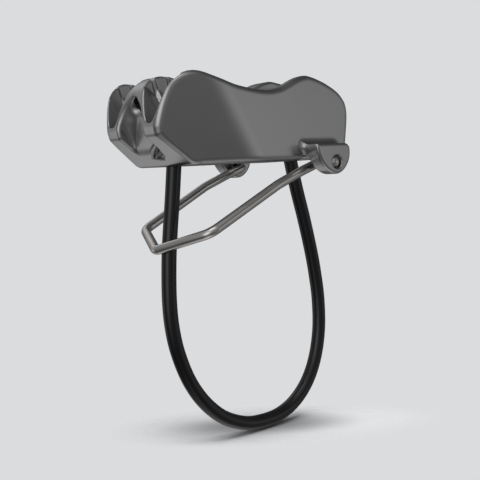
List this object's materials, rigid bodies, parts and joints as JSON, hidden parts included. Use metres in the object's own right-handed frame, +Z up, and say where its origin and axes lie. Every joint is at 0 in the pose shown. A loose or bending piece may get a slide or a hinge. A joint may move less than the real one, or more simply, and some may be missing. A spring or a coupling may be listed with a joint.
{
  "type": "tube belay device",
  "caption": "Two-slot tube belay device with V-grooved lobes, a hinged wire bail and a sheathed wire-rope loop.",
  "frame": {"origin": "middle of the body's flat underside, midway between the loop's two exits, where the belay carabiner bears", "axes": "+X from the grooved lobes towards the bail's hinge, +Y across the two rope slots, +Z up through the slots, away from the loop"},
  "size_m": [0.0632, 0.0452, 0.0961],
  "materials": {
    "anodised_body": "polished dark grey anodising",
    "stainless_wire": "bright drawn stainless steel wire",
    "wire_rope": "galvanised wire rope",
    "black_sheath": "glossy black extruded plastic",
    "swaged_sleeve": "plain swaged metal"
  },
  "bodies": {
    "body": {"device_body": "anodised_body", "cable_core": "wire_rope", "cable_sheath": "black_sheath", "cable_ferrule_front": "swaged_sleeve", "cable_ferrule_rear": "swaged_sleeve"},
    "bail": {"wire_bail": "stainless_wire"}
  },
  "joints": [
    {"name": "bail_hinge", "type": "hinge", "parent": "body", "child": "bail", "pos_m": [0.0157, 0, -0.0009], "axis": [0, 1, 0], "range_deg": [0, 13]}
  ]
}
